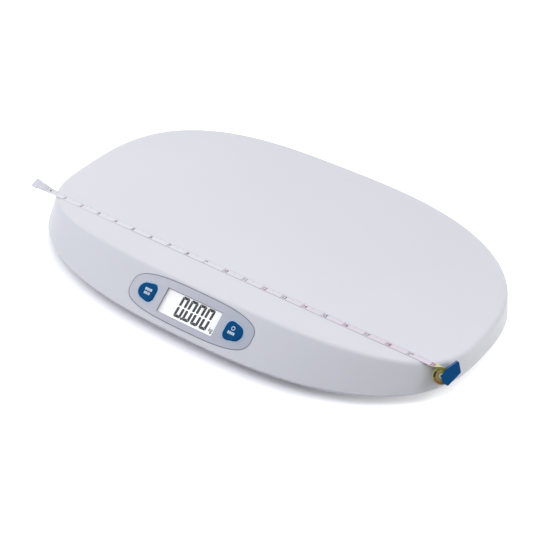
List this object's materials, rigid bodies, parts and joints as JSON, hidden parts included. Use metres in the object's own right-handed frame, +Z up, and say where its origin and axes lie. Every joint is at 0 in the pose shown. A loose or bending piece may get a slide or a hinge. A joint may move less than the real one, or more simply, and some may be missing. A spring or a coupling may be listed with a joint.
{
  "type": "digital baby weighing scale",
  "caption": "Oval one-piece moulded baby weighing scale with a curved tray, sloping display console with two push buttons, battery bay underneath and a tape measure laid across.",
  "frame": {"origin": "centre of the oval body's bounding box, on the surface that the rubber feet stand on (tape measure left out)", "axes": "+X to the right along the console and the body's length, -Y towards the console and the user, +Z up"},
  "size_m": [0.5592, 0.3098, 0.0552],
  "materials": {
    "white_shell": "satin injection-moulded ABS",
    "white_base": "satin injection-moulded ABS",
    "door_white": "satin injection-moulded ABS",
    "foot_plastic": "moulded ABS",
    "panel_grey": "fine matt grey panel",
    "clear_window": "clear acrylic window",
    "lcd_glass": "LCD cell, light grey field",
    "diffuser": "white diffusing acrylic",
    "inner_plastic": "natural moulded plastic",
    "zebra_rubber": "layered silicone strip",
    "board_green": "solder-masked glass-fibre board",
    "chip_black": "moulded epoxy",
    "socket_plastic": "nylon",
    "screw_steel": "zinc-plated steel",
    "cell_steel": "nickel-plated spring steel",
    "contact_steel": "nickel-plated spring steel",
    "pad_rubber": "soft black rubber",
    "button_blue": "smooth blue cap",
    "cable_grey": "PVC sleeve",
    "wire_red": "PVC insulation",
    "battery_sleeve": "printed sleeve, bare of any name",
    "tape_white": "coated glass-fibre tape, white side",
    "tape_back": "coated glass-fibre tape, yellow-green side",
    "tab_plastic": "moulded end tab",
    "spool_plastic": "moulded hub",
    "case_blue": "moulded blue case"
  },
  "bodies": {
    "scale_body": {"top_housing": "white_shell", "base_housing": "white_base", "console_panel": "panel_grey", "display_lens": "clear_window", "lcd_panel": "lcd_glass", "light_guide": "diffuser", "display_holder": "inner_plastic", "zebra_strips": "zebra_rubber", "main_board": "board_green", "board_components": "chip_black", "board_sockets": "socket_plastic", "board_screws": "screw_steel", "left_switch": "screw_steel", "right_switch": "screw_steel", "load_cell_front_left": "cell_steel", "load_cell_front_right": "cell_steel", "load_cell_rear_left": "cell_steel", "load_cell_rear_right": "cell_steel", "cell_seat_front_left": "inner_plastic", "cell_seat_front_right": "inner_plastic", "cell_seat_rear_left": "inner_plastic", "cell_seat_rear_right": "inner_plastic", "foot_front_left": "foot_plastic", "foot_front_right": "foot_plastic", "foot_rear_left": "foot_plastic", "foot_rear_right": "foot_plastic", "foot_pad_front_left": "pad_rubber", "foot_pad_front_right": "pad_rubber", "foot_pad_rear_left": "pad_rubber", "foot_pad_rear_right": "pad_rubber", "seat_screws": "screw_steel", "cell_cables": "cable_grey", "battery_cable": "wire_red", "batteries": "battery_sleeve", "battery_contacts": "contact_steel", "housing_screws": "screw_steel", "tape_blade": "tape_white", "tape_end_tab": "tab_plastic", "tape_case_front": "case_blue", "tape_case_back": "case_blue"},
    "left_button": {"left_button": "button_blue", "left_plunger": "chip_black"},
    "right_button": {"right_button": "button_blue", "right_plunger": "chip_black"},
    "battery_door": {"battery_door": "door_white"},
    "tape_spool": {"tape_spool": "spool_plastic", "tape_roll": "tape_back"}
  },
  "joints": [
    {"name": "left_button_press", "type": "slide", "parent": "scale_body", "child": "left_button", "axis": [0, 0.6156, -0.7881], "range_m": [0, 0.0008], "stiffness_N_per_m": 1500},
    {"name": "right_button_press", "type": "slide", "parent": "scale_body", "child": "right_button", "axis": [0, 0.6156, -0.7881], "range_m": [0, 0.0008], "stiffness_N_per_m": 1500},
    {"name": "battery_door_hinge", "type": "hinge", "parent": "scale_body", "child": "battery_door", "pos_m": [0, 0.0684, 0.009], "axis": [1, 0, 0], "range_deg": [0, 90]},
    {"name": "tape_spool_turn", "type": "hinge", "parent": "scale_body", "child": "tape_spool", "pos_m": [0.26069, -0.06819, 0.03159], "axis": [0.4869, -0.6461, 0.5878], "continuous": true}
  ]
}
